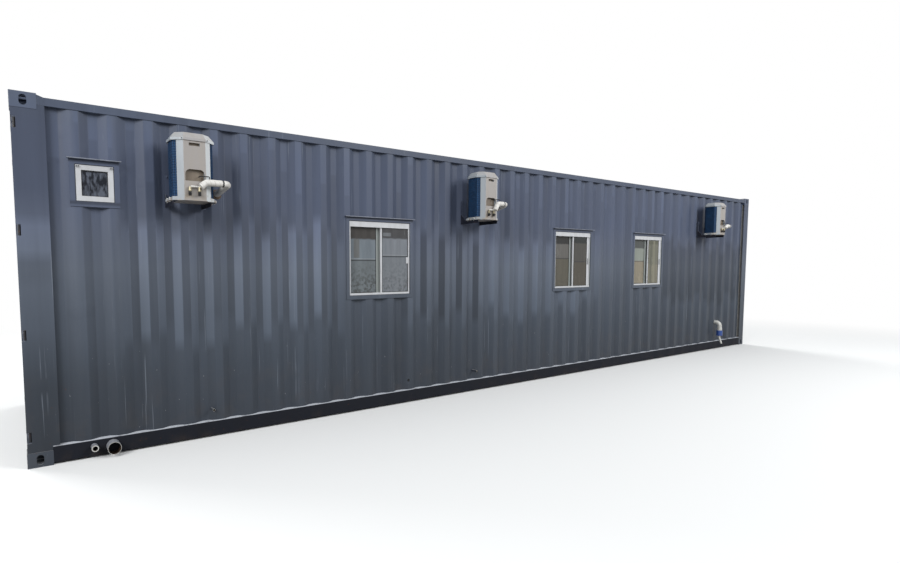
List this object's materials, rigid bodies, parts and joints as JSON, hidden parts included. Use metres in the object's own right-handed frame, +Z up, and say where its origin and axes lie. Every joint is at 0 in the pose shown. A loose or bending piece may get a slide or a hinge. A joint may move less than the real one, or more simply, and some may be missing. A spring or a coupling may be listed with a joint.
{
  "type": "shipping container cabin",
  "caption": "Forty foot high cube steel container made into a cabin, with windows and wall-mounted condensing units along one side.",
  "frame": {"origin": "on the ground plane, at the middle of the rectangle of the four bottom corner castings' slots", "axes": "+X runs along the container from the cargo door end to the closed end, -Y is the side with the condensing units, +Z is up"},
  "size_m": [12.192, 2.8489, 2.896],
  "materials": {
    "wall_paint": "semi gloss slate grey paint over ribbed steel",
    "rail_paint": "worn near black underbody paint",
    "door_gear_steel": "painted steel",
    "plywood": "sealed plywood",
    "lining_board": "matt white board",
    "white_aluminium": "white powder coat",
    "window_glass": "clear tempered glass",
    "condenser_white": "off white coated steel and plastic",
    "coil_blue": "blue coated fins",
    "fan_plastic": "dark moulded plastic",
    "bracket_steel": "dark paint",
    "pipe_wrap": "white wrapping tape",
    "white_pipe": "white plastic pipe"
  },
  "bodies": {
    "root": {"bottom_rail_far": "rail_paint", "bottom_rail_near": "rail_paint", "cargo_door_far": "wall_paint", "cargo_door_gear": "door_gear_steel", "cargo_door_near": "wall_paint", "castings_bottom": "wall_paint", "castings_top": "wall_paint", "ceiling": "lining_board", "condenser_1_cabinet": "condenser_white", "condenser_1_coil": "coil_blue", "condenser_1_cover": "condenser_white", "condenser_2_cabinet": "condenser_white", "condenser_2_coil": "coil_blue", "condenser_2_cover": "condenser_white", "condenser_3_cabinet": "condenser_white", "condenser_3_coil": "coil_blue", "condenser_3_cover": "condenser_white", "condenser_brackets": "bracket_steel", "condenser_fans": "fan_plastic", "condenser_piping": "pipe_wrap", "door_header": "wall_paint", "door_post_far": "wall_paint", "door_post_near": "wall_paint", "door_threshold": "wall_paint", "drain_pipes": "white_pipe", "end_rail_bottom": "wall_paint", "end_rail_top": "wall_paint", "end_wall": "wall_paint", "entrance_door": "white_aluminium", "entrance_frame": "white_aluminium", "floor": "plywood", "floor_beams": "rail_paint", "front_post_far": "wall_paint", "front_post_near": "wall_paint", "glass_far": "window_glass", "glass_near": "window_glass", "lining_end": "lining_board", "lining_far": "lining_board", "lining_near": "lining_board", "roof": "wall_paint", "side_wall_far": "wall_paint", "side_wall_near": "wall_paint", "small_window_frame": "white_aluminium", "top_rail_far": "wall_paint", "top_rail_near": "wall_paint", "water_inlet": "white_pipe", "window_1_frame": "white_aluminium", "window_2_frame": "white_aluminium", "window_3_frame": "white_aluminium", "window_frames_far": "white_aluminium", "window_trims_far": "wall_paint", "window_trims_near": "wall_paint"}
  },
  "joints": []
}
